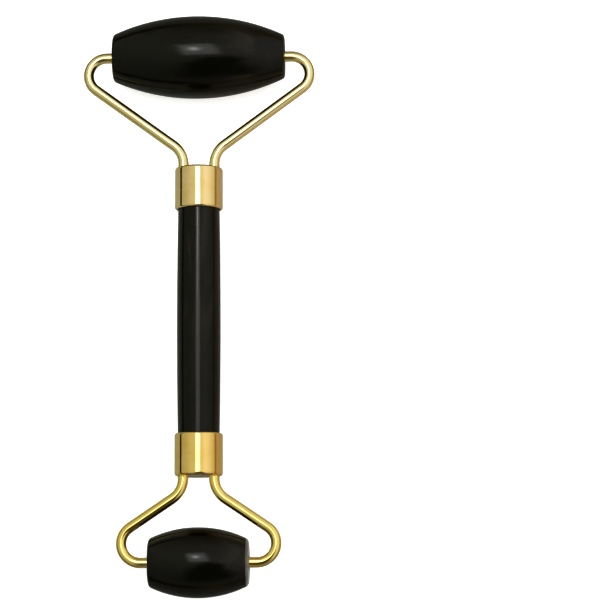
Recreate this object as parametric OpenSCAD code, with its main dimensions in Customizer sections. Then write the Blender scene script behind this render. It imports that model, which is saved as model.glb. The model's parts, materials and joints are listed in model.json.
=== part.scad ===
// Face roller with two stone rollers, one at each end of a stone handle.
// It lies on a flat surface at z = 0. Its length runs along Y, with the large roller at +Y, and the
// rollers' axles run along X. The rollers differ in diameter, so the handle leans a little to rest on both.

/* [Overall] */
// Length from the far side of one roller to the far side of the other
overall_length = 145; // [135:1:155]

/* [Large roller] */
// Length along its axle
large_length = 43; // [40:0.5:44]
// Largest diameter
large_dia = 20.5; // [18:0.1:23]
// Diameter where the side would meet the end faces, if the edge were sharp
large_end_dia = 10.8; // [10:0.1:13]

/* [Small roller] */
// Length along its axle
small_length = 24.6; // [22:0.2:26]
// Largest diameter
small_dia = 17.1; // [15:0.1:19]
// Diameter where the side would meet the end faces, if the edge were sharp
small_end_dia = 11.2; // [10:0.1:13]

/* [Roller details] */
// Rounding of the edge around an end face
roller_edge_r = 1.2; // [0.4:0.1:1.6]
// Diameter of the hole through a roller
roller_bore_dia = 4; // [3.6:0.1:4.6]
// Length of a bush
bush_length = 8; // [5:0.5:9]
// Depth of a bush below the roller's end face
bush_recess = 0.3; // [0.1:0.1:0.6]

/* [Wire forks] */
// Diameter of the wire
wire_dia = 2.6; // [2.2:0.1:2.6]
// Gap between the wire and the bush it turns in, measured on the radius
wire_clearance = 0.05; // [0.02:0.01:0.1]
// Distance between the two wires where they leave a collar
wire_spread = 7.7; // [7:0.1:7.7]
// Bend radius of the wire's centre line beside the collar
neck_bend_r = 6; // [5:0.5:7]
// Width of the large fork, between the wire's centre lines
upper_fork_width = 55.4; // [54:0.1:57]
// Distance from the large roller's axle to the upper collar
upper_fork_reach = 28.3; // [27:0.1:30]
// Bend radius of the large fork's elbows
upper_elbow_r = 4.5; // [4:0.1:4.6]
// Straight length between the upper collar and the first bend
upper_neck = 1; // [0.5:0.1:2]
// Width of the small fork, between the wire's centre lines
lower_fork_width = 38; // [37:0.1:39]
// Distance from the small roller's axle to the lower collar
lower_fork_reach = 21.1; // [20.5:0.1:22]
// Bend radius of the small fork's elbows
lower_elbow_r = 4.7; // [4.4:0.1:5]
// Straight length between the lower collar and the first bend
lower_neck = 0.5; // [0.3:0.1:1]
// Length of the wire stub inside a roller
stub_depth = 6.5; // [4:0.5:7]

/* [Collars] */
// Outer diameter of a collar
collar_dia = 11.9; // [11.9:0.1:13]
// Length of a collar
collar_length = 10.5; // [9:0.5:12]
// Thickness of a collar's side wall
collar_wall = 0.65; // [0.6:0.05:0.7]
// Thickness of a collar's closed end
collar_end_wall = 1.5; // [1:0.1:2]
// Rounding of the edge around the closed end
collar_end_edge_r = 0.7; // [0.3:0.1:0.7]
// Rounding of the edge around the mouth
collar_mouth_edge_r = 0.5; // [0.2:0.1:0.5]

/* [Handle] */
// Diameter of the handle in its middle
handle_mid_dia = 10.8; // [10.6:0.1:11.4]
// Diameter of the handle at the collars' mouths
handle_mouth_dia = 10.3; // [9.8:0.1:10.4]

/* [Hidden] */

ROUND = 96;             // smoothness of everything round
BARREL_STEPS = 25;      // stretches along a curved side; a roller rests on the middle one
EDGE_STEPS = 6;         // stretches along a rounded edge

stone_colour = "#1c1b19";
gold_colour = "#d9b65e";
nylon_colour = "#26241f";
solder_colour = "#a9a59a";
glue_colour = "#8a7f5c";

wire_r = wire_dia / 2;
large_r = large_dia / 2;
small_r = small_dia / 2;

// The axles' distance along Y and in height gives their true distance and the handle's lean.
axle_run = overall_length - large_r - small_r;
axle_rise = large_r - small_r;
axle_distance = norm([axle_run, axle_rise]);
lean = atan2(axle_rise, axle_run);
middle = [0, (small_r - large_r) / 2, (large_r + small_r) / 2];

// Places along the handle's line, counted from the middle between the axles.
upper_end = axle_distance / 2 - upper_fork_reach;
lower_end = -axle_distance / 2 + lower_fork_reach;
upper_mouth = upper_end - collar_length;
lower_mouth = lower_end + collar_length;

// Inside a collar: the arms' tails end in solder, and the handle stops short of them.
cup_r = collar_dia / 2 - collar_wall;
cup_depth = collar_length - collar_end_wall;
tail_length = 1.4;
handle_gap = 2.2;
glue_recess = 0.3;
solder_r = 2.2;
solder_top_r = 1.6;
solder_height = 1.1;

// The handle's side is one arc that goes on into the collars.
handle_half = (upper_mouth - lower_mouth) / 2 + cup_depth - handle_gap;
handle_visible_half = (upper_mouth - lower_mouth) / 2;
handle_pull_in = (handle_mid_dia - handle_mouth_dia) / 2;
handle_end_r = handle_mid_dia / 2 - handle_pull_in * pow(handle_half / handle_visible_half, 2);
handle_edge_r = 0.6;

stub_chamfer = 0.3;
joint_length = 0.3;
joint_rise = 0.02;
joint_gap = 0.02;
cut = 1;                // how far a cutter passes the face that it cuts

// Points of an arc from one angle to another.
function arc(centre, r, from, to, steps) =
    [for (i = [0:steps]) let (t = from + (to - from) * i / steps) centre + r * [cos(t), sin(t)]];

// Outline, as [radius, place along the axis], of a barrel with rounded end edges.
function barrel_outline(half, mid_r, end_r, edge_r) =
    let (
        sag = mid_r - end_r,
        side_r = (half * half + sag * sag) / (2 * sag),
        side_centre = [mid_r - side_r, 0],
        edge_place = half - edge_r,
        edge_centre = side_centre + [sqrt(pow(side_r - edge_r, 2) - pow(edge_place, 2)), edge_place],
        turn = asin(edge_place / (side_r - edge_r))
    )
    concat(
        [[0, -half]],
        arc([edge_centre.x, -edge_place], edge_r, -90, -turn, EDGE_STEPS),
        [for (p = arc(side_centre, side_r, -turn, turn, BARREL_STEPS)) if (abs(p.y) < edge_place - 0.1) p],
        arc(edge_centre, edge_r, turn, 90, EDGE_STEPS),
        [[0, half]]
    );

// Outline of a rod from 0 to length with a different rounding at each end.
function rod_outline(length, r, start_edge_r, end_edge_r) =
    concat(
        [[0, 0]],
        arc([r - start_edge_r, start_edge_r], start_edge_r, -90, 0, EDGE_STEPS),
        arc([r - end_edge_r, length - end_edge_r], end_edge_r, 0, 90, EDGE_STEPS),
        [[0, length]]
    );

// Stands children in the leaning frame whose Y axis runs through both axles.
module placed() {
    translate(middle) rotate([lean, 0, 0]) children();
}

// Fork frames: the collar's closed end is at y = 0 and the fork opens towards +Y.
module in_upper_fork() {
    placed() translate([0, upper_end, 0]) children();
}

module in_lower_fork() {
    placed() translate([0, lower_end, 0]) mirror([0, 1, 0]) children();
}

module on_left() {
    mirror([1, 0, 0]) children();
}

// Turns a shape made along Z so that it lies along X or Y.
module along_x() {
    rotate([0, 90, 0]) children();
}

module along_y() {
    rotate([-90, 0, 0]) children();
}

// A straight stretch of wire that stops a hair short of both ends, where a joint takes over.
module wire_between(from, to) {
    run = to - from;
    translate([from.x, from.y, 0]) rotate([0, 0, atan2(run.y, run.x)]) translate([joint_gap, 0, 0]) along_x()
        cylinder(h = norm(run) - 2 * joint_gap, r = wire_r, $fn = ROUND);
}

module wire_bend(centre, bend_r, from, turn) {
    translate([centre.x, centre.y, 0]) rotate([0, 0, from])
        rotate_extrude(angle = turn, $fn = ROUND) translate([bend_r, 0]) circle(r = wire_r, $fn = ROUND);
}

// The end of an arm that a roller turns on, along X from its chamfered tip.
module stub(length) {
    along_x() rotate_extrude($fn = ROUND)
        polygon([[0, 0], [wire_r - stub_chamfer, 0], [wire_r, stub_chamfer], [wire_r, length], [0, length]]);
}

// The joint between a straight stretch and a bend: a short sleeve, a hair thicker than the wire.
module wire_joint(place, direction) {
    translate([place.x, place.y, 0]) rotate([0, 0, direction]) translate([-joint_length / 2, 0, 0]) along_x()
        cylinder(h = joint_length, r = wire_r + joint_rise, $fn = ROUND);
}

// The right-hand arm of a fork: tail, neck bend, slanted stretch, elbow, and the stub that is the axle.
// The slanted stretch is the line that touches both bends from opposite sides.
module arm(width, reach, elbow_r, neck, stub_tip) {
    neck_centre = [wire_spread / 2 + neck_bend_r, neck];
    elbow_centre = [width / 2 - elbow_r, reach - elbow_r];
    between = elbow_centre - neck_centre;
    slope = atan2(between.y, between.x) - asin((neck_bend_r + elbow_r) / norm(between));
    outward = [sin(slope), -cos(slope)];
    tail_end = [wire_spread / 2, -collar_end_wall - tail_length];
    neck_start = [wire_spread / 2, neck];
    slant_start = neck_centre - neck_bend_r * outward;
    slant_end = elbow_centre + elbow_r * outward;
    stub_start = [elbow_centre.x, reach];
    color(gold_colour) union() {
        wire_between(tail_end, neck_start);
        wire_bend(neck_centre, neck_bend_r, 90 + slope, 90 - slope);
        wire_between(slant_start, slant_end);
        wire_bend(elbow_centre, elbow_r, slope - 90, 180 - slope);
        translate([stub_tip, reach, 0]) stub(stub_start.x - stub_tip - joint_gap);
        wire_joint(neck_start, 90);
        wire_joint(slant_start, slope);
        wire_joint(slant_end, slope);
        wire_joint(stub_start, 180);
    }
}

module upper_arm() {
    arm(upper_fork_width, upper_fork_reach, upper_elbow_r, upper_neck, large_length / 2 - stub_depth);
}

module lower_arm() {
    arm(lower_fork_width, lower_fork_reach, lower_elbow_r, lower_neck, small_length / 2 - stub_depth);
}

// The tails of both arms, as far as they pass through a collar's closed end and the glue.
module tails() {
    for (side = [-1, 1])
        translate([side * wire_spread / 2, -collar_end_wall - tail_length, 0]) along_y()
            cylinder(h = collar_end_wall + tail_length, r = wire_r, $fn = ROUND);
}

// A cup over the handle's end, with two holes in its closed end for the arms.
module collar() {
    color(gold_colour) difference() {
        translate([0, -collar_length, 0]) along_y() rotate_extrude($fn = ROUND)
            polygon(rod_outline(collar_length, collar_dia / 2, collar_mouth_edge_r, collar_end_edge_r));
        translate([0, -collar_length - cut, 0]) along_y()
            cylinder(h = cup_depth + cut, r = cup_r, $fn = ROUND);
        for (side = [-1, 1])
            translate([side * wire_spread / 2, -collar_end_wall - cut, 0]) along_y()
                cylinder(h = collar_end_wall + 2 * cut, r = wire_r, $fn = ROUND);
    }
}

// The bead around an arm's tail, against the inside of the closed end.
module solder() {
    color(solder_colour) difference() {
        intersection() {
            translate([wire_spread / 2, -collar_end_wall - solder_height, 0]) along_y()
                cylinder(h = solder_height, r1 = solder_top_r, r2 = solder_r, $fn = ROUND);
            translate([0, -collar_end_wall - solder_height - cut, 0]) along_y()
                cylinder(h = solder_height + 2 * cut, r = cup_r, $fn = ROUND);
        }
        translate([wire_spread / 2, -collar_end_wall - solder_height - cut, 0]) along_y()
            cylinder(h = solder_height + 2 * cut, r = wire_r, $fn = ROUND);
    }
}

// The two beads without their holes, as the space that they and the tails take from the glue.
module solder_space() {
    for (side = [-1, 1])
        translate([side * wire_spread / 2, -collar_end_wall - solder_height, 0]) along_y()
            cylinder(h = solder_height, r1 = solder_top_r, r2 = solder_r, $fn = ROUND);
}

module handle_shape() {
    translate([0, (upper_mouth + lower_mouth) / 2, 0]) along_y() rotate_extrude($fn = ROUND)
        polygon(barrel_outline(handle_half, handle_mid_dia / 2, handle_end_r, handle_edge_r));
}

// Glue fills the cup around the handle's end, to just below the mouth.
module glue() {
    translate([0, -collar_length + glue_recess, 0]) along_y()
        cylinder(h = cup_depth - glue_recess, r = cup_r, $fn = ROUND);
}

module stone_roller(axle, length, dia, end_dia) {
    color(stone_colour) translate(axle) along_x() difference() {
        rotate_extrude($fn = ROUND)
            polygon(barrel_outline(length / 2, dia / 2, end_dia / 2, roller_edge_r));
        translate([0, 0, -length / 2 - cut])
            cylinder(h = length + 2 * cut, d = roller_bore_dia, $fn = ROUND);
    }
}

// A sleeve in the right-hand end of a roller's hole.
module bush(axle, length) {
    color(nylon_colour) translate(axle) translate([length / 2 - bush_recess - bush_length, 0, 0]) along_x()
        difference() {
            cylinder(h = bush_length, d = roller_bore_dia, $fn = ROUND);
            translate([0, 0, -cut])
                cylinder(h = bush_length + 2 * cut, r = wire_r + wire_clearance, $fn = ROUND);
        }
}

large_axle = [0, overall_length / 2 - large_r, large_r];
small_axle = [0, -overall_length / 2 + small_r, small_r];

module handle() {
    color(stone_colour) placed() handle_shape();
}

module upper_collar() {
    in_upper_fork() collar();
}

module lower_collar() {
    in_lower_fork() collar();
}

module upper_left_arm() {
    in_upper_fork() on_left() upper_arm();
}

module upper_right_arm() {
    in_upper_fork() upper_arm();
}

module lower_left_arm() {
    in_lower_fork() on_left() lower_arm();
}

module lower_right_arm() {
    in_lower_fork() lower_arm();
}

module large_roller() {
    stone_roller(large_axle, large_length, large_dia, large_end_dia);
}

module small_roller() {
    stone_roller(small_axle, small_length, small_dia, small_end_dia);
}

module large_roller_left_bush() {
    on_left() bush(large_axle, large_length);
}

module large_roller_right_bush() {
    bush(large_axle, large_length);
}

module small_roller_left_bush() {
    on_left() bush(small_axle, small_length);
}

module small_roller_right_bush() {
    bush(small_axle, small_length);
}

module upper_left_solder() {
    in_upper_fork() on_left() solder();
}

module upper_right_solder() {
    in_upper_fork() solder();
}

module lower_left_solder() {
    in_lower_fork() on_left() solder();
}

module lower_right_solder() {
    in_lower_fork() solder();
}

module upper_glue() {
    color(glue_colour) difference() {
        in_upper_fork() glue();
        placed() handle_shape();
        in_upper_fork() tails();
        in_upper_fork() solder_space();
    }
}

module lower_glue() {
    color(glue_colour) difference() {
        in_lower_fork() glue();
        placed() handle_shape();
        in_lower_fork() tails();
        in_lower_fork() solder_space();
    }
}

handle();
upper_collar();
lower_collar();
upper_left_arm();
upper_right_arm();
lower_left_arm();
lower_right_arm();
large_roller();
small_roller();
large_roller_left_bush();
large_roller_right_bush();
small_roller_left_bush();
small_roller_right_bush();
upper_left_solder();
upper_right_solder();
lower_left_solder();
lower_right_solder();
upper_glue();
lower_glue();
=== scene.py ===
"""Face roller: two black stone rollers in gold wire forks, at the ends of a black stone handle.

Everything is in metres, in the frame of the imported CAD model: X along the rollers' axles, Y along the
handle towards the large roller, Z up from the surface that it lies on. The visible pieces are lathed and
swept here at a finer resolution than the CAD meshes, to the same sizes, with the small unevenness that
hand-ground stone and plated wire have.
"""

import json
import math

import bmesh
import bpy
import numpy as np
from mathutils import Matrix, Vector, noise


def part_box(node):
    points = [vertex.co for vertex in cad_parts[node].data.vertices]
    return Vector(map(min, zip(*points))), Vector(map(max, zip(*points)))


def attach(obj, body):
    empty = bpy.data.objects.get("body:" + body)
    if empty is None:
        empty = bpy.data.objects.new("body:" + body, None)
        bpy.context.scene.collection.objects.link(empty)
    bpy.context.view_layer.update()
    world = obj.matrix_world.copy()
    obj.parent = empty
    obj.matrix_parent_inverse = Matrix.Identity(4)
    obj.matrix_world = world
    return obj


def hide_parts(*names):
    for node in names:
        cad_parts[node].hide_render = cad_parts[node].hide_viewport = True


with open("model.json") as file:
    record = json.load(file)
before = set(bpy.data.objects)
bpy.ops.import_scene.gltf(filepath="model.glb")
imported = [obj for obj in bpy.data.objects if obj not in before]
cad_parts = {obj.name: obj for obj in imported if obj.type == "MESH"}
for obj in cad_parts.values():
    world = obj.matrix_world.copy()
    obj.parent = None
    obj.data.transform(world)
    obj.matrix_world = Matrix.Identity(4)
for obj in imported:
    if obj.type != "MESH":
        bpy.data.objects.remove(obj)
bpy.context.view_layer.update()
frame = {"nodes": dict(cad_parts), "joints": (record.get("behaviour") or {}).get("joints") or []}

MM = 0.001

# Sizes that the CAD boxes don't show by themselves.
ROLLER_EDGE_R = 1.2 * MM        # rounding around a roller's end faces
LARGE_END_R = 5.4 * MM          # where the large roller's side would meet its end face, if sharp
SMALL_END_R = 5.6 * MM          # the same on the small roller
# How far a hand-ground roller's radius strays from its arc: in its middle, how much more at both ends,
# and the change from the middle to the right end, which is the opposite to the left end.
GRINDING = {"large_roller": (0.08 * MM, 0.13 * MM, -0.22 * MM),
            "small_roller": (0.08 * MM, 0.03 * MM, -0.10 * MM)}
LEFT_END_TURN = 0.85            # how far the ground surface goes over a roller's left edge, as a cosine
RIGHT_END_TURN = 0.5            # the same at its right edge, which is ground further
BORE_LIP_R = 0.2 * MM           # broken edge of a roller's hole
BUSH_LIP_R = 0.15 * MM
WIRE_R = 1.3 * MM
WIRE_CLEARANCE = 0.05 * MM      # gap between the wire and its bush
BEND_FLATTENING = 0.03          # how much thinner the wire is in the middle of a bend
WIRE_SPREAD = 7.7 * MM          # between the two wires where they leave a collar
NECK_BEND_R = 6 * MM
UPPER_ELBOW_R = 4.5 * MM
LOWER_ELBOW_R = 4.7 * MM
UPPER_NECK = 1.0 * MM           # straight wire between a collar and the first bend
LOWER_NECK = 0.5 * MM
STUB_CHAMFER = 0.3 * MM
COLLAR_WALL = 0.65 * MM
COLLAR_END_WALL = 1.5 * MM
COLLAR_END_EDGE_R = 0.7 * MM
COLLAR_MOUTH_EDGE_R = 0.5 * MM
COLLAR_INNER_LIP_R = 0.12 * MM
COLLAR_END_RIM = 0.05 * MM      # flat ring between a collar's rounded edge and its drilled end
HANDLE_MOUTH_R = 5.15 * MM      # the handle's radius at the collars' mouths
HANDLE_EDGE_R = 0.6 * MM

# How far a surface strays from its true shape, and the size of one ripple.
ROLLER_RIPPLES = (0.020 * MM, 6 * MM)
HANDLE_RIPPLES = (0.018 * MM, 7 * MM)
COLLAR_RIPPLES = (0.006 * MM, 4 * MM)
WIRE_RIPPLES = (0.008 * MM, 3 * MM)

# Resolution of the meshes.
AROUND = 192                    # faces around a roller, the handle or a collar
AROUND_WIRE = 64
AROUND_BUSH = 96
AROUND_STAGE = 96
SIDE_STEP = 0.4 * MM            # stretches along a curved side
EDGE_STEPS = 12                 # stretches over a rounded edge
WIRE_STEP = 0.35 * MM
BORE_STEP = 2 * MM
CUP_STEP = 1 * MM
SHARP_ANGLE = math.radians(40)  # a steeper edge is shaded sharp

# The leaning frame: its Y axis runs from the small roller's axle to the large roller's.
axles = {joint["child"]: Vector(joint["pos_m"]) for joint in frame["joints"]}
lean_y = (axles["large_roller"] - axles["small_roller"]).normalized()
lean_x = Vector((1, 0, 0))
LEANING = Matrix.Translation((axles["large_roller"] + axles["small_roller"]) / 2) @ Matrix(
    (lean_x, lean_y, lean_x.cross(lean_y))).transposed().to_4x4()


def leaning_box(node):
    """Lowest and highest corner of a CAD node in the leaning frame."""
    into = LEANING.inverted()
    points = np.array([into @ v.co for v in frame["nodes"][node].data.vertices])
    return Vector(points.min(0)), Vector(points.max(0))


# ---------------------------------------------------------------- outlines

def arc(centre, radius, start, end, steps):
    """Points of an arc, with both ends. Angles are in degrees."""
    angles = (math.radians(start + (end - start) * i / steps) for i in range(steps + 1))
    return [(centre[0] + radius * math.cos(a), centre[1] + radius * math.sin(a)) for a in angles]


def line(start, end, step):
    """Points between start and end, without them, about one step apart."""
    count = max(1, round(math.dist(start, end) / step))
    return [tuple(a + (b - a) * i / count for a, b in zip(start, end)) for i in range(1, count)]


def barrel_side(half, mid_r, end_r, edge_r):
    """Outline of a barrel's side with its rounded edges, from low to high, as (radius, place along the
    axis)."""
    sag = mid_r - end_r
    side_r = (half ** 2 + sag ** 2) / (2 * sag)
    centre = mid_r - side_r
    edge_place = half - edge_r
    edge_centre = centre + math.sqrt((side_r - edge_r) ** 2 - edge_place ** 2)
    turn = math.degrees(math.asin(edge_place / (side_r - edge_r)))
    steps = round(2 * math.radians(turn) * side_r / SIDE_STEP)
    low_edge = arc((edge_centre, -edge_place), edge_r, -90, -turn, EDGE_STEPS)
    side = arc((centre, 0), side_r, -turn, turn, steps)
    high_edge = arc((edge_centre, edge_place), edge_r, turn, 90, EDGE_STEPS)
    return low_edge + side[1:-1] + high_edge


# ---------------------------------------------------------------- meshes

def lathe(bm, outline, around, closed):
    """Turns an outline of (radius, place) about the Z axis into bm. Returns its rings of vertices.
    A closed outline comes back to its start, like the section of a tube."""
    rings = []
    for radius, place in outline:
        angles = (2 * math.pi * i / around for i in range(around))
        rings.append([bm.verts.new((radius * math.cos(a), radius * math.sin(a), place)) for a in angles])
    pairs = list(zip(rings, rings[1:])) + ([(rings[-1], rings[0])] if closed else [])
    for low, high in pairs:
        for i in range(around):
            j = (i + 1) % around
            bm.faces.new((low[i], low[j], high[j], high[i]))
    return rings


def uneven(bm, height, length, seed):
    """Moves every vertex along its normal by smooth noise: height is the most it moves, and length the
    size of one ripple."""
    bm.normal_update()
    shifts = [v.normal * height * noise.noise(v.co / length + Vector((seed, 0, 0))) for v in bm.verts]
    for vertex, shift in zip(bm.verts, shifts):
        vertex.co += shift


def piece(name, bm, matrix, body, node, slot, *materials):
    """Finishes a mesh as a shown piece that stands for a CAD node."""
    bmesh.ops.recalc_face_normals(bm, faces=bm.faces)
    mesh = bpy.data.meshes.new(name)
    bm.to_mesh(mesh)
    bm.free()
    mesh.shade_smooth()
    mesh.set_sharp_from_angle(angle=SHARP_ANGLE)
    for material in materials:
        mesh.materials.append(material)
    obj = bpy.data.objects.new(name, mesh)
    bpy.context.scene.collection.objects.link(obj)
    obj.matrix_world = matrix
    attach(obj, body)
    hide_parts(node)
    return obj


# ---------------------------------------------------------------- materials

STONE_SPECULAR = 0.42           # the polished stone reflects a little less than glass does
MIX_COLOURS = slice(6, 8)       # a Mix node's two colour inputs, among those for other kinds of data
MIX_RESULT = 2                  # its colour output


class Shading:
    """A material's node tree, with short calls for the nodes used below."""

    def __init__(self, name):
        self.material = bpy.data.materials.new(name)
        self.material.use_nodes = True
        self.nodes = self.material.node_tree.nodes
        self.links = self.material.node_tree.links
        self.shader = self.nodes["Principled BSDF"]
        self.place = self.nodes.new("ShaderNodeTexCoord").outputs["Object"]

    def link(self, source, target):
        self.links.new(source, target)

    def stretched(self, scale):
        """The object's own coordinates, scaled per axis."""
        mapping = self.nodes.new("ShaderNodeMapping")
        mapping.inputs["Scale"].default_value = scale
        self.link(self.place, mapping.inputs["Vector"])
        return mapping.outputs["Vector"]

    def noise(self, scale, detail=2.0, roughness=0.5, distortion=0.0, where=None):
        texture = self.nodes.new("ShaderNodeTexNoise")
        texture.inputs["Scale"].default_value = scale
        texture.inputs["Detail"].default_value = detail
        texture.inputs["Roughness"].default_value = roughness
        texture.inputs["Distortion"].default_value = distortion
        self.link(where or self.place, texture.inputs["Vector"])
        return texture.outputs["Fac"]

    def ranged(self, value, low, high, to_low, to_high):
        """value from low..high to to_low..to_high, held at both ends."""
        limits = self.nodes.new("ShaderNodeMapRange")
        limits.interpolation_type = "SMOOTHSTEP"
        for name, number in zip(("From Min", "From Max", "To Min", "To Max"), (low, high, to_low, to_high)):
            limits.inputs[name].default_value = number
        self.link(value, limits.inputs["Value"])
        return limits.outputs["Result"]

    def mixed(self, factor, first, second):
        """A colour between first and second, each a colour or an output."""
        mix = self.nodes.new("ShaderNodeMix")
        mix.data_type = "RGBA"
        self.link(factor, mix.inputs["Factor"])
        for socket, colour in zip(mix.inputs[MIX_COLOURS], (first, second)):
            if isinstance(colour, tuple):
                socket.default_value = (*colour, 1)
            else:
                self.link(colour, socket)
        return mix.outputs[MIX_RESULT]

    def along(self, axis):
        """One of the object's own coordinates."""
        axes = self.nodes.new("ShaderNodeSeparateXYZ")
        self.link(self.place, axes.inputs[0])
        return axes.outputs[axis]

    def maths(self, operation, *values):
        """One step of arithmetic with one or two values, each an output or a number."""
        step = self.nodes.new("ShaderNodeMath")
        step.operation = operation
        for socket, value in zip(step.inputs, values):
            if isinstance(value, (int, float)):
                socket.default_value = value
            else:
                self.link(value, socket)
        return step.outputs[0]

    def bump(self, height, distance, strength=1.0, under=None):
        """A normal bent by height, whose full range is distance deep, on top of another bump."""
        bump = self.nodes.new("ShaderNodeBump")
        bump.inputs["Strength"].default_value = strength
        bump.inputs["Distance"].default_value = distance
        self.link(height, bump.inputs["Height"])
        if under is not None:
            self.link(under, bump.inputs["Normal"])
        return bump.outputs["Normal"]

    def finish(self, colour=None, roughness=None, normal=None, **constants):
        """Connects what drives the shader and sets its constants on the shader itself."""
        for socket, value in (("Base Color", colour), ("Roughness", roughness), ("Normal", normal)):
            if value is not None:
                self.link(value, self.shader.inputs[socket])
        for socket, value in constants.items():
            self.shader.inputs[socket.replace("_", " ")].default_value = value
        return self.material


def polished_stone(name, seed, smooth, dull, painted_reflection_from, painted_reflection_to):
    """Black stone with faint warm clouds, rare grey flecks and hair-fine polishing scratches. Smoky brown
    streaks run along it. They are faint all over as the stone's own colour, and grow thicker from the first
    to the second of the last two arguments along its own axis, where they are a painted brown reflection."""
    s = Shading(name)
    clouds = s.noise(150, detail=5, roughness=0.6, distortion=0.8, where=s.stretched((1, 1, 1 + 0.1 * seed)))
    colour = s.mixed(s.ranged(clouds, 0.35, 0.7, 0, 1), (0.0036, 0.0035, 0.0010), (0.0070, 0.0064, 0.0026))
    streaks = s.noise(170, detail=4, roughness=0.55, distortion=1.2, where=s.stretched((1, 1, 0.22)))
    # Painted reflection: beyond a faint share of the stone's own smoke, the brown streaks thicken towards one
    # end.
    smoke_and_painted_reflection = s.maths("MULTIPLY", s.ranged(streaks, 0.45, 0.68, 0, 1),
                    s.ranged(s.along("Z"), painted_reflection_from, painted_reflection_to, 0.12, 1))
    colour = s.mixed(smoke_and_painted_reflection, colour, (0.026, 0.0215, 0.0125))
    flecks = s.noise(2600, detail=3, roughness=0.7)
    colour = s.mixed(s.ranged(flecks, 0.70, 0.80, 0, 0.5), colour, (0.050, 0.045, 0.038))
    haze = s.noise(420, detail=4, roughness=0.6)
    roughness = s.ranged(haze, 0.3, 0.75, smooth, dull)
    ripples = s.bump(s.noise(330, detail=1), 0.012 * MM)
    scratches = s.bump(s.noise(900, detail=4, where=s.stretched((0.25, 1, 6))), 0.0015 * MM, under=ripples)
    return s.finish(colour, roughness, scratches, Specular_IOR_Level=STONE_SPECULAR)


def ground_stone(name, dark, light, smooth, dull, dust):
    """The end of a roller: sawn and ground, less polished than its side, with dust in its pores, which shows
    at a low angle."""
    s = Shading(name)
    clouds = s.noise(700, detail=6, roughness=0.7)
    colour = s.mixed(s.ranged(clouds, 0.3, 0.7, 0, 1), dark, light)
    pits = s.noise(3200, detail=3, roughness=0.6)
    colour = s.mixed(s.ranged(pits, 0.62, 0.72, 0, 0.8), colour, (0.010, 0.009, 0.008))
    roughness = s.ranged(clouds, 0.3, 0.7, smooth, dull)
    grain = s.bump(s.noise(2400, detail=5, where=s.stretched((1, 3, 0.3))), 0.015 * MM)
    return s.finish(colour, roughness, grain, Sheen_Weight=dust, Sheen_Roughness=0.35)


def gold(name, base, deep, smooth, dull, stretch):
    """Gold plating over polished metal: a slightly uneven skin, fine wipe marks, redder where it is thin."""
    s = Shading(name)
    patches = s.noise(260, detail=3, roughness=0.55)
    colour = s.mixed(s.ranged(patches, 0.35, 0.7, 0, 1), base, deep)
    haze = s.noise(900, detail=5, roughness=0.65, where=s.stretched(stretch))
    roughness = s.ranged(haze, 0.3, 0.75, smooth, dull)
    skin = s.bump(s.noise(520, detail=1), 0.004 * MM)
    wipes = s.bump(s.noise(2600, detail=3, where=s.stretched(stretch)), 0.0010 * MM, under=skin)
    return s.finish(colour, roughness, wipes, Metallic=1.0)


def nylon(name):
    s = Shading(name)
    speckle = s.noise(3000, detail=2)
    colour = s.mixed(speckle, (0.016, 0.015, 0.014), (0.030, 0.028, 0.025))
    return s.finish(colour, s.ranged(speckle, 0.3, 0.7, 0.4, 0.5), s.bump(speckle, 0.004 * MM))


def solder(name):
    s = Shading(name)
    frost = s.noise(1800, detail=5, roughness=0.65)
    colour = s.mixed(frost, (0.36, 0.34, 0.30), (0.58, 0.56, 0.52))
    normal = s.bump(frost, 0.03 * MM)
    return s.finish(colour, s.ranged(frost, 0.3, 0.7, 0.3, 0.5), normal, Metallic=1.0)


def epoxy(name):
    s = Shading(name)
    clouds = s.noise(500, detail=3)
    colour = s.mixed(clouds, (0.10, 0.085, 0.050), (0.17, 0.145, 0.090))
    return s.finish(colour, s.ranged(clouds, 0.3, 0.7, 0.15, 0.25), s.bump(clouds, 0.02 * MM))


# The painted brown reflection gathers towards the rollers' right ends, and along the handle towards the large
# roller.
roller_stone = polished_stone("roller_stone", 1, 0.11, 0.17, 2 * MM, 16 * MM)
handle_stone = polished_stone("handle_stone", 2, 0.11, 0.16, -30 * MM, 60 * MM)
end_stones = {
    "large_roller": ground_stone("large_end_stone", (0.006, 0.0055, 0.004), (0.013, 0.012, 0.009),
                                 0.2, 0.3, 0),
    "small_roller": ground_stone("small_end_stone", (0.085, 0.078, 0.067), (0.150, 0.138, 0.118),
                                 0.4, 0.55, 0.3),
}
# The plating around the small roller is a little deeper in colour.
collar_golds = {
    "upper": gold("upper_collar_gold", (0.93, 0.75, 0.38), (0.90, 0.70, 0.33), 0.04, 0.10, (1, 1, 0.15)),
    "lower": gold("lower_collar_gold", (0.93, 0.70, 0.27), (0.90, 0.65, 0.22), 0.04, 0.10, (1, 1, 0.15)),
}
# The upper wires' gold is paler than the lower wires'. This is painted light: a lit copy of the same plating,
# standing for the brighter light over the upper fork.
wire_golds = {
    "upper": gold("upper_wire_gold_lit_copy", (0.93, 0.80, 0.42), (0.91, 0.76, 0.36), 0.10, 0.17, (0.4, 1, 1)),
    "lower": gold("lower_wire_gold", (0.93, 0.75, 0.28), (0.91, 0.70, 0.23), 0.06, 0.12, (0.4, 1, 1)),
}
bush_nylon = nylon("bush_nylon")
solder_metal = solder("solder")
epoxy_glue = epoxy("epoxy")


# ---------------------------------------------------------------- rollers and bushes

# Takes a shape lathed about Z so that it lies along X.
Z_TO_X = Matrix.Rotation(math.radians(90), 4, "Y")
# Takes a shape lathed about Z so that it lies along Y.
Z_TO_Y = Matrix.Rotation(math.radians(-90), 4, "X")


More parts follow.
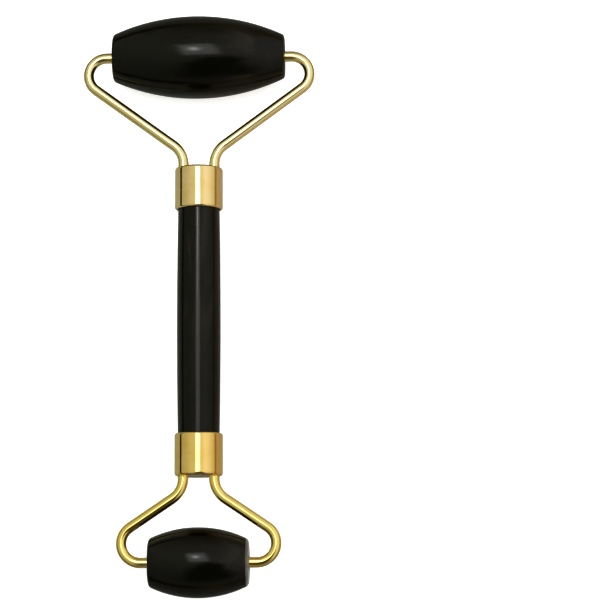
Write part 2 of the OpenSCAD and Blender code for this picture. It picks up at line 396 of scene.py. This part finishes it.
def make_roller(body, end_r, seed):
    """A barrel with a hole along its axle. Its end faces take the ground material."""
    low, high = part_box(body)
    half, mid_r = (high.x - low.x) / 2, (high.z - low.z) / 2
    bush_low, bush_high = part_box(body + "_right_bush")
    bore_r = (bush_high.z - bush_low.z) / 2
    low_lip = arc((bore_r + BORE_LIP_R, -half + BORE_LIP_R), BORE_LIP_R, 180, 270, EDGE_STEPS // 2)
    high_lip = arc((bore_r + BORE_LIP_R, half - BORE_LIP_R), BORE_LIP_R, 90, 180, EDGE_STEPS // 2)
    more, bow, taper = GRINDING[body]
    outside = [(radius + more + bow * (place / half) ** 2 + taper * place / half, place)
               for radius, place in barrel_side(half, mid_r, end_r, ROLLER_EDGE_R)]
    bore = line(high_lip[-1], low_lip[0], BORE_STEP)
    bm = bmesh.new()
    lathe(bm, low_lip + outside + high_lip + bore, AROUND, closed=True)
    uneven(bm, *ROLLER_RIPPLES, seed)
    bm.normal_update()
    for face in bm.faces:
        near_end = abs(face.calc_center_median().z) > half - ROLLER_EDGE_R
        turned = face.normal.z > RIGHT_END_TURN or face.normal.z < -LEFT_END_TURN
        face.material_index = int(near_end and turned)
    matrix = Matrix.Translation(axles[body]) @ Z_TO_X
    return piece(body + "_stone", bm, matrix, body, body, "roller_stone", roller_stone, end_stones[body])


def make_bush(body, side):
    """A plain sleeve with broken edges, a little below the roller's end face."""
    node = f"{body}_{side}_bush"
    low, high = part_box(node)
    half, outer_r = (high.x - low.x) / 2, (high.z - low.z) / 2
    inner_r = WIRE_R + WIRE_CLEARANCE
    lip = BUSH_LIP_R
    outline = (arc((outer_r - lip, -half + lip), lip, -90, 0, EDGE_STEPS // 2)
               + arc((outer_r - lip, half - lip), lip, 0, 90, EDGE_STEPS // 2)
               + arc((inner_r + lip, half - lip), lip, 90, 180, EDGE_STEPS // 2)
               + arc((inner_r + lip, -half + lip), lip, 180, 270, EDGE_STEPS // 2))
    bm = bmesh.new()
    lathe(bm, outline, AROUND_BUSH, closed=True)
    centre = Vector(((low.x + high.x) / 2, axles[body].y, axles[body].z))
    matrix = Matrix.Translation(centre) @ Z_TO_X
    return piece(node + "_nylon", bm, matrix, body, node, "bush_nylon", bush_nylon)


# ---------------------------------------------------------------- forks

def fork_matrix(place, direction):
    """A fork's frame: the collar's closed end is at y = 0 and the fork opens towards +Y."""
    return LEANING @ Matrix.Translation((0, place, 0)) @ Matrix.Diagonal((1, direction, 1, 1))


def wire_path(width, reach, elbow_r, neck, tail_end, stub_tip):
    """Centre line of a right-hand arm, as (x, y, heading in degrees, share of a bend's depth)."""
    neck_centre = Vector((WIRE_SPREAD / 2 + NECK_BEND_R, neck))
    elbow_centre = Vector((width / 2 - elbow_r, reach - elbow_r))
    between = elbow_centre - neck_centre
    slope = math.degrees(math.atan2(between.y, between.x)
                         - math.asin((NECK_BEND_R + elbow_r) / between.length))
    tail = [(0, tail_end)] + line((0, tail_end), (0, neck), WIRE_STEP)
    path = [(WIRE_SPREAD / 2, y, 90, 0) for _, y in tail]

    def bend(centre, radius, start, end, turned):
        steps = round(abs(math.radians(end - start)) * radius / WIRE_STEP)
        for i, (x, y) in enumerate(arc(centre, radius, start, end, steps)):
            share = i / steps
            path.append((x, y, start + (end - start) * share + turned, math.sin(math.pi * share)))

    bend(neck_centre, NECK_BEND_R, 180, 90 + slope, -90)
    slant_end = arc(elbow_centre, elbow_r, slope - 90, slope - 90, 1)[0]
    path.extend((x, y, slope, 0) for x, y in line(path[-1][:2], slant_end, WIRE_STEP))
    bend(elbow_centre, elbow_r, slope - 90, 90, 90)
    path.extend((x, y, 180, 0) for x, y in line(path[-1][:2], (stub_tip, reach), WIRE_STEP))
    path.append((stub_tip, reach, 180, 0))
    return path


def make_arm(node, matrix, side, reach, elbow_r, neck, seed, material):
    """One arm of wire: tail, neck bend, slanted stretch, elbow, and the stub that a roller turns on.
    The wire is a little flatter where it was bent, as wire is."""
    into = matrix.inverted()
    points = np.array([into @ v.co for v in frame["nodes"][node].data.vertices])
    points[:, 0] *= side
    tail_end, widest = points.min(0)[1], points.max(0)[0]
    stub_tip = points[points[:, 1] > reach][:, 0].min()
    path = wire_path(2 * (widest - WIRE_R), reach, elbow_r, neck, tail_end, stub_tip)
    bm = bmesh.new()
    rings = []
    for x, y, heading, bent in path:
        across = Vector((-math.sin(math.radians(heading)), math.cos(math.radians(heading)), 0))
        rings.append((Vector((x, y, 0)), across, WIRE_R, 1 - BEND_FLATTENING * bent))
    tip, across, _, _ = rings[-1]
    back = Vector((STUB_CHAMFER, 0, 0))
    rings[-1] = (tip + back, across, WIRE_R, 1)
    rings.append((tip, across, WIRE_R - STUB_CHAMFER, 1))
    loops = []
    for centre, across, radius, squeeze in rings:
        loop = []
        for i in range(AROUND_WIRE):
            a = 2 * math.pi * i / AROUND_WIRE
            point = centre + across * (radius * squeeze * math.cos(a)) + Vector((0, 0, radius * math.sin(a)))
            loop.append(bm.verts.new((side * point.x, point.y, point.z)))
        loops.append(loop)
    for first, second in zip(loops, loops[1:]):
        for i in range(AROUND_WIRE):
            j = (i + 1) % AROUND_WIRE
            bm.faces.new((first[i], first[j], second[j], second[i]))
    bm.faces.new(loops[0])
    bm.faces.new(loops[-1])
    uneven(bm, *WIRE_RIPPLES, seed)
    return piece(node + "_wire", bm, matrix, "frame", node, "gold_wire", material)


def circle_loop(bm, centre, radius, place, around):
    """A ring of vertices about a line along Z that crosses the X axis at centre."""
    angles = (2 * math.pi * i / around for i in range(around))
    return [bm.verts.new((centre + radius * math.cos(a), radius * math.sin(a), place)) for a in angles]


def edges_of(bm, loop):
    """The edges around a closed loop of vertices, made where they are missing."""
    return [bm.edges.get(pair) or bm.edges.new(pair) for pair in zip(loop, loop[1:] + loop[:1])]


def make_collar(node, matrix, seed, material):
    """A drawn cup over the handle's end, with two holes in its closed end for the wires."""
    low, high = leaning_box(node)
    length, radius = high.y - low.y, (high.x - low.x) / 2
    cup_r = radius - COLLAR_WALL
    end, mouth, lip = COLLAR_END_EDGE_R, COLLAR_MOUTH_EDGE_R, COLLAR_INNER_LIP_R
    outline = ([(radius - end - COLLAR_END_RIM, 0)]
               + arc((radius - end, -end), end, 90, 0, EDGE_STEPS)
               + line((radius, -end), (radius, -length + mouth), SIDE_STEP)
               + arc((radius - mouth, -length + mouth), mouth, 0, -90, EDGE_STEPS)
               + arc((cup_r + lip, -length + lip), lip, 270, 180, EDGE_STEPS // 2)
               + line((cup_r, -length + lip), (cup_r, -COLLAR_END_WALL), CUP_STEP)
               + [(cup_r, -COLLAR_END_WALL)])
    bm = bmesh.new()
    rings = lathe(bm, outline, AROUND, closed=False)
    outer = edges_of(bm, rings[0])
    inner = edges_of(bm, rings[-1])
    for centre in (-WIRE_SPREAD / 2, WIRE_SPREAD / 2):
        near = circle_loop(bm, centre, WIRE_R, 0, AROUND_WIRE)
        far = circle_loop(bm, centre, WIRE_R, -COLLAR_END_WALL, AROUND_WIRE)
        for i in range(AROUND_WIRE):
            j = (i + 1) % AROUND_WIRE
            bm.faces.new((near[i], near[j], far[j], far[i]))
        outer += edges_of(bm, near)
        inner += edges_of(bm, far)
    bmesh.ops.triangle_fill(bm, use_beauty=True, use_dissolve=False, edges=outer, normal=(0, 0, 1))
    bmesh.ops.triangle_fill(bm, use_beauty=True, use_dissolve=False, edges=inner, normal=(0, 0, -1))
    uneven(bm, *COLLAR_RIPPLES, seed)
    return piece(node + "_shell", bm, matrix @ Z_TO_Y, "frame", node, "gold_collar", material)


def make_handle():
    """The stone rod between the collars. Its side is one arc that goes on into them."""
    low, high = leaning_box("handle")
    half, mid_r = (high.y - low.y) / 2, (high.x - low.x) / 2
    visible_half = (leaning_box("upper_collar")[0].y - leaning_box("lower_collar")[1].y) / 2
    end_r = mid_r - (mid_r - HANDLE_MOUTH_R) * (half / visible_half) ** 2
    outline = barrel_side(half, mid_r, end_r, HANDLE_EDGE_R)
    bm = bmesh.new()
    rings = lathe(bm, outline, AROUND, closed=False)
    bm.faces.new(rings[0])
    bm.faces.new(rings[-1])
    uneven(bm, *HANDLE_RIPPLES, 40)
    matrix = LEANING @ Matrix.Translation((0, (low.y + high.y) / 2, 0)) @ Z_TO_Y
    return piece("handle_stone", bm, matrix, "frame", "handle", "handle_stone", handle_stone)


upper_end, lower_end = leaning_box("upper_collar")[1].y, leaning_box("lower_collar")[0].y
axle_place = (axles["large_roller"] - axles["small_roller"]).length / 2

for number, (roller, end_radius) in enumerate((("large_roller", LARGE_END_R), ("small_roller", SMALL_END_R))):
    make_roller(roller, end_radius, 10 + number)
    for which in ("left", "right"):
        make_bush(roller, which)
make_handle()
for level, end_place, outward, elbow, straight in (("upper", upper_end, 1, UPPER_ELBOW_R, UPPER_NECK),
                                                   ("lower", lower_end, -1, LOWER_ELBOW_R, LOWER_NECK)):
    fork = fork_matrix(end_place, outward)
    make_collar(level + "_collar", fork, 20, collar_golds[level])
    for which, sign in (("left", -1), ("right", 1)):
        make_arm(f"{level}_{which}_arm", fork, sign, axle_place - abs(end_place), elbow, straight, 30 + sign,
                 wire_golds[level])
        solder_node = frame["nodes"][f"{level}_{which}_solder"]
        solder_node.data.materials.clear()
        solder_node.data.materials.append(solder_metal)
    glue_node = frame["nodes"][level + "_glue"]
    glue_node.data.materials.clear()
    glue_node.data.materials.append(epoxy_glue)


# ---------------------------------------------------------------- floor, lights and camera

def stage_object(name, bm, material):
    """A piece of the stage, from a mesh."""
    mesh = bpy.data.meshes.new(name)
    bm.to_mesh(mesh)
    bm.free()
    mesh.materials.append(material)
    obj = bpy.data.objects.new(name, mesh)
    bpy.context.scene.collection.objects.link(obj)
    return obj


def square_mesh(reach):
    """A flat square that goes as far as reach on every side of its middle."""
    bm = bmesh.new()
    bm.faces.new([bm.verts.new((x * reach, y * reach, 0)) for x, y in ((-1, -1), (1, -1), (1, 1), (-1, 1))])
    return bm


def ring_mesh(inner, outer, low, high):
    """A ring around the object, from one reach and height to another. It is longer along Y."""
    bm = bmesh.new()
    loops = []
    for reach, place in ((inner, low), (outer, high)):
        angles = (2 * math.pi * i / AROUND_STAGE for i in range(AROUND_STAGE))
        loops.append([bm.verts.new((reach * math.cos(a), (reach + RING_STRETCH) * math.sin(a), place))
                      for a in angles])
    for i in range(AROUND_STAGE):
        j = (i + 1) % AROUND_STAGE
        bm.faces.new((loops[0][i], loops[0][j], loops[1][j], loops[1][i]))
    return bm


def glossy_only(obj):
    """A card that is seen in reflections and nowhere else."""
    obj.visible_camera = False
    obj.visible_diffuse = False
    obj.visible_shadow = False
    obj.visible_transmission = False
    obj.visible_volume_scatter = False


def paper(name, dark, light, glow, warm=None, far=None):
    """Plain paper. It can have another colour on the right, and a darker one beyond the collars. That darker
    colour is painted shade: the rollers' own shadow on the paper around them.
    """
    s = Shading(name)
    colour = s.mixed(s.noise(400, detail=3), dark, light)
    if warm is not None:
        colour = s.mixed(s.ranged(s.along("X"), -0.005, 0.005, 0, 1), colour, warm)
    # Painted shade: the paper turns darker beyond the collars, for the rollers' shadow.
    if far is not None:
        away = s.maths("ABSOLUTE", s.along("Y"))
        colour = s.mixed(s.ranged(away, 0.045, 0.075, 0, 1), colour, far)
    return s.finish(colour, Roughness=0.9, Specular_IOR_Level=0.1, Emission_Color=(1, 1, 1, 1),
                    Emission_Strength=glow)


def glowing(name, colour, strength_of, cover_of=None):
    """A card's material. strength_of and cover_of take the Shading and give how much the card glows and
    how opaque it is. Without cover_of it is opaque all over."""
    s = Shading(name)
    s.nodes.remove(s.shader)
    surface = s.nodes["Material Output"].inputs["Surface"]
    emission = s.nodes.new("ShaderNodeEmission")
    emission.inputs["Color"].default_value = (*colour, 1)
    s.link(strength_of(s), emission.inputs["Strength"])
    if cover_of is None:
        s.link(emission.outputs[0], surface)
        return s.material
    thinned = s.nodes.new("ShaderNodeMixShader")
    s.link(cover_of(s), thinned.inputs["Fac"])
    s.link(s.nodes.new("ShaderNodeBsdfTransparent").outputs[0], thinned.inputs[1])
    s.link(emission.outputs[0], thinned.inputs[2])
    s.link(thinned.outputs[0], surface)
    return s.material


def from_point(s, x, y):
    """Distance from a point of a card that is two units wide and high."""
    across, up = s.maths("SUBTRACT", s.along("X"), x), s.maths("SUBTRACT", s.along("Y"), y)
    return s.maths("SQRT", s.maths("ADD", s.maths("MULTIPLY", across, across), s.maths("MULTIPLY", up, up)))


def soft_edges(s, fade):
    """One inside a card and nothing at its edges."""
    across, up = s.maths("ABSOLUTE", s.along("X")), s.maths("ABSOLUTE", s.along("Y"))
    return s.maths("MULTIPLY", s.ranged(across, 1 - fade, 1, 1, 0), s.ranged(up, 1 - fade, 1, 1, 0))


def card(name, centre, turn, half_x, half_y, strength_of, cover_of):
    """A soft card that is only seen in reflections. It is flat, then turned, then moved to centre."""
    obj = stage_object(name, square_mesh(1), glowing(name, (1, 1, 1), strength_of, cover_of))
    obj.matrix_world = Matrix.Translation(centre) @ turn @ Matrix.Diagonal((half_x, half_y, 1, 1))
    glossy_only(obj)


FLOOR_REACH = 6.0
stage_object("floor", square_mesh(FLOOR_REACH),
             paper("floor_paper", (0.86, 0.86, 0.86), (0.88, 0.88, 0.88), 0.42))

# In reflections the surface near the object is a greyer paper. Beyond the collars it is darker still, and
# that is painted shade for the rollers' own shadow on it. Beyond its edge there is a thin line, dark on the
# left, before the walls begin.
RING_STRETCH = 0.07
PAPER_REACH = 0.10
PAPER_HEIGHT = 0.3 * MM
EDGE_REACH = 0.60
EDGE_HEIGHT = 0.055
glossy_only(stage_object("near_paper", ring_mesh(0, PAPER_REACH, PAPER_HEIGHT, PAPER_HEIGHT),
                         paper("near_paper", (0.36, 0.385, 0.36), (0.38, 0.405, 0.38), 0,
                               warm=(0.41, 0.37, 0.34), far=(0.225, 0.225, 0.21))))
glossy_only(stage_object("paper_edge", ring_mesh(PAPER_REACH, EDGE_REACH, PAPER_HEIGHT, EDGE_HEIGHT),
                         glowing("paper_edge", (1, 0.74, 0.35),
                                 lambda s: s.ranged(s.along("X"), -0.09, 0.07, 0.04, 0.27))))

# The dark figure of whoever holds the camera stands on the near side and leans over the object.
card("figure", (0.10, -0.46, 0.525), Matrix.Rotation(math.radians(71.4), 4, "X"), 0.38, 0.50,
     lambda s: s.ranged(s.along("Y"), -1, 1, 0.08, 0.06), lambda s: soft_edges(s, 0.65))
card("camera_hand", (0.22, -0.40, 1.05), Matrix.Identity(4), 0.38, 0.33,
     lambda s: s.ranged(s.along("Y"), -1, 1, 0.06, 0.08),
     lambda s: s.ranged(from_point(s, 0, 0), 0.6, 1, 1, 0))


def area_light(name, size_x, size_y, place, radiance):
    """A soft light that faces down and isn't seen in reflections. Its power gives the wanted radiance."""
    light = bpy.data.lights.new(name, "AREA")
    light.shape = "RECTANGLE"
    light.size, light.size_y = size_x, size_y
    light.energy = radiance * math.pi * size_x * size_y
    obj = bpy.data.objects.new(name, light)
    obj.location = place
    bpy.context.scene.collection.objects.link(obj)
    obj.visible_camera = False
    obj.visible_glossy = False


# The softbox has a card for its reflection: brightest near its middle, where its lamp is.
SOFTBOX = (-0.045, 0.27, 1.2)
area_light("softbox", 0.44, 0.66, SOFTBOX, 3.2)
area_light("fill", 3.0, 3.0, (0, 0, 2.5), 0.75)
card("softbox_face", SOFTBOX, Matrix.Rotation(math.radians(9), 4, "Z"), 0.245, 0.355,
     lambda s: s.ranged(from_point(s, -0.15, 0.05), 0.05, 0.45, 7.6, 1.8), lambda s: soft_edges(s, 0.2))

# The tent around it all: a greyer wall on the left, a brighter one on the right, and darker ones at the
# near and far ends.
world = bpy.data.worlds.new("tent")
world.use_nodes = True
bpy.context.scene.world = world
tree = world.node_tree
axes = tree.nodes.new("ShaderNodeSeparateXYZ")
tree.links.new(tree.nodes.new("ShaderNodeTexCoord").outputs["Generated"], axes.inputs[0])


def wall_ramp(axis, *stops):
    """A ramp of (place, colour) over one axis of the directions, from -1 to 1."""
    across = tree.nodes.new("ShaderNodeMapRange")
    across.inputs["From Min"].default_value = -1
    tree.links.new(axes.outputs[axis], across.inputs["Value"])
    ramp = tree.nodes.new("ShaderNodeValToRGB")
    ramp.color_ramp.interpolation = "B_SPLINE"
    tree.links.new(across.outputs["Result"], ramp.inputs["Fac"])
    elements = ramp.color_ramp.elements
    elements[0].position, elements[0].color = (stops[0][0] + 1) / 2, (*stops[0][1], 1)
    elements[1].position, elements[1].color = (stops[-1][0] + 1) / 2, (*stops[-1][1], 1)
    for place, colour in stops[1:-1]:
        elements.new((place + 1) / 2).color = (*colour, 1)
    return ramp.outputs["Color"]


across_walls = wall_ramp("X",
                         (-1, (0.34, 0.35, 0.32)), (-0.5, (0.56, 0.56, 0.50)), (-0.1, (0.48, 0.48, 0.43)),
                         (0.3, (0.62, 0.61, 0.59)), (0.6, (0.76, 0.75, 0.76)), (0.86, (0.60, 0.59, 0.57)),
                         (0.96, (0.55, 0.51, 0.44)), (1, (0.42, 0.38, 0.30)))
along_walls = wall_ramp("Y",
                        (-1, (0.45, 0.45, 0.45)), (-0.6, (0.64, 0.64, 0.64)), (-0.3, (0.86, 0.86, 0.86)),
                        (0, (1, 1, 1)), (0.6, (1, 1, 1)), (0.85, (0.75, 0.75, 0.75)),
                        (1, (0.25, 0.25, 0.25)))
walls = tree.nodes.new("ShaderNodeMix")
walls.data_type, walls.blend_type = "RGBA", "MULTIPLY"
walls.inputs["Factor"].default_value = 1
for socket, colour in zip(walls.inputs[MIX_COLOURS], (across_walls, along_walls)):
    tree.links.new(colour, socket)
tree.links.new(walls.outputs[MIX_RESULT], tree.nodes["Background"].inputs["Color"])

# The camera looks almost straight down, from a little below and to the right of the object.
AIM = Vector((0.0263, -0.0007, 0.0095))
AZIMUTH = math.radians(10.9)
ELEVATION = math.radians(81.1)
ROLL = math.radians(-0.25)
DISTANCE = 0.6354
camera_data = bpy.data.cameras.new("camera")
camera_data.lens = 151.7
camera_data.sensor_width = 36
camera = bpy.data.objects.new("camera", camera_data)
bpy.context.scene.collection.objects.link(camera)
back = Vector((math.sin(AZIMUTH) * math.cos(ELEVATION), -math.cos(AZIMUTH) * math.cos(ELEVATION),
               math.sin(ELEVATION)))
right = Vector((0, 1, 0)).cross(back).normalized()
up = back.cross(right)
turned_right = right * math.cos(ROLL) + up * math.sin(ROLL)
turned_up = up * math.cos(ROLL) - right * math.sin(ROLL)
turn = Matrix((turned_right, turned_up, back)).transposed()
camera.matrix_world = Matrix.Translation(AIM + back * DISTANCE) @ turn.to_4x4()
bpy.context.scene.camera = camera

view = bpy.context.scene.view_settings
view.view_transform = "Standard"
view.look = "High Contrast"
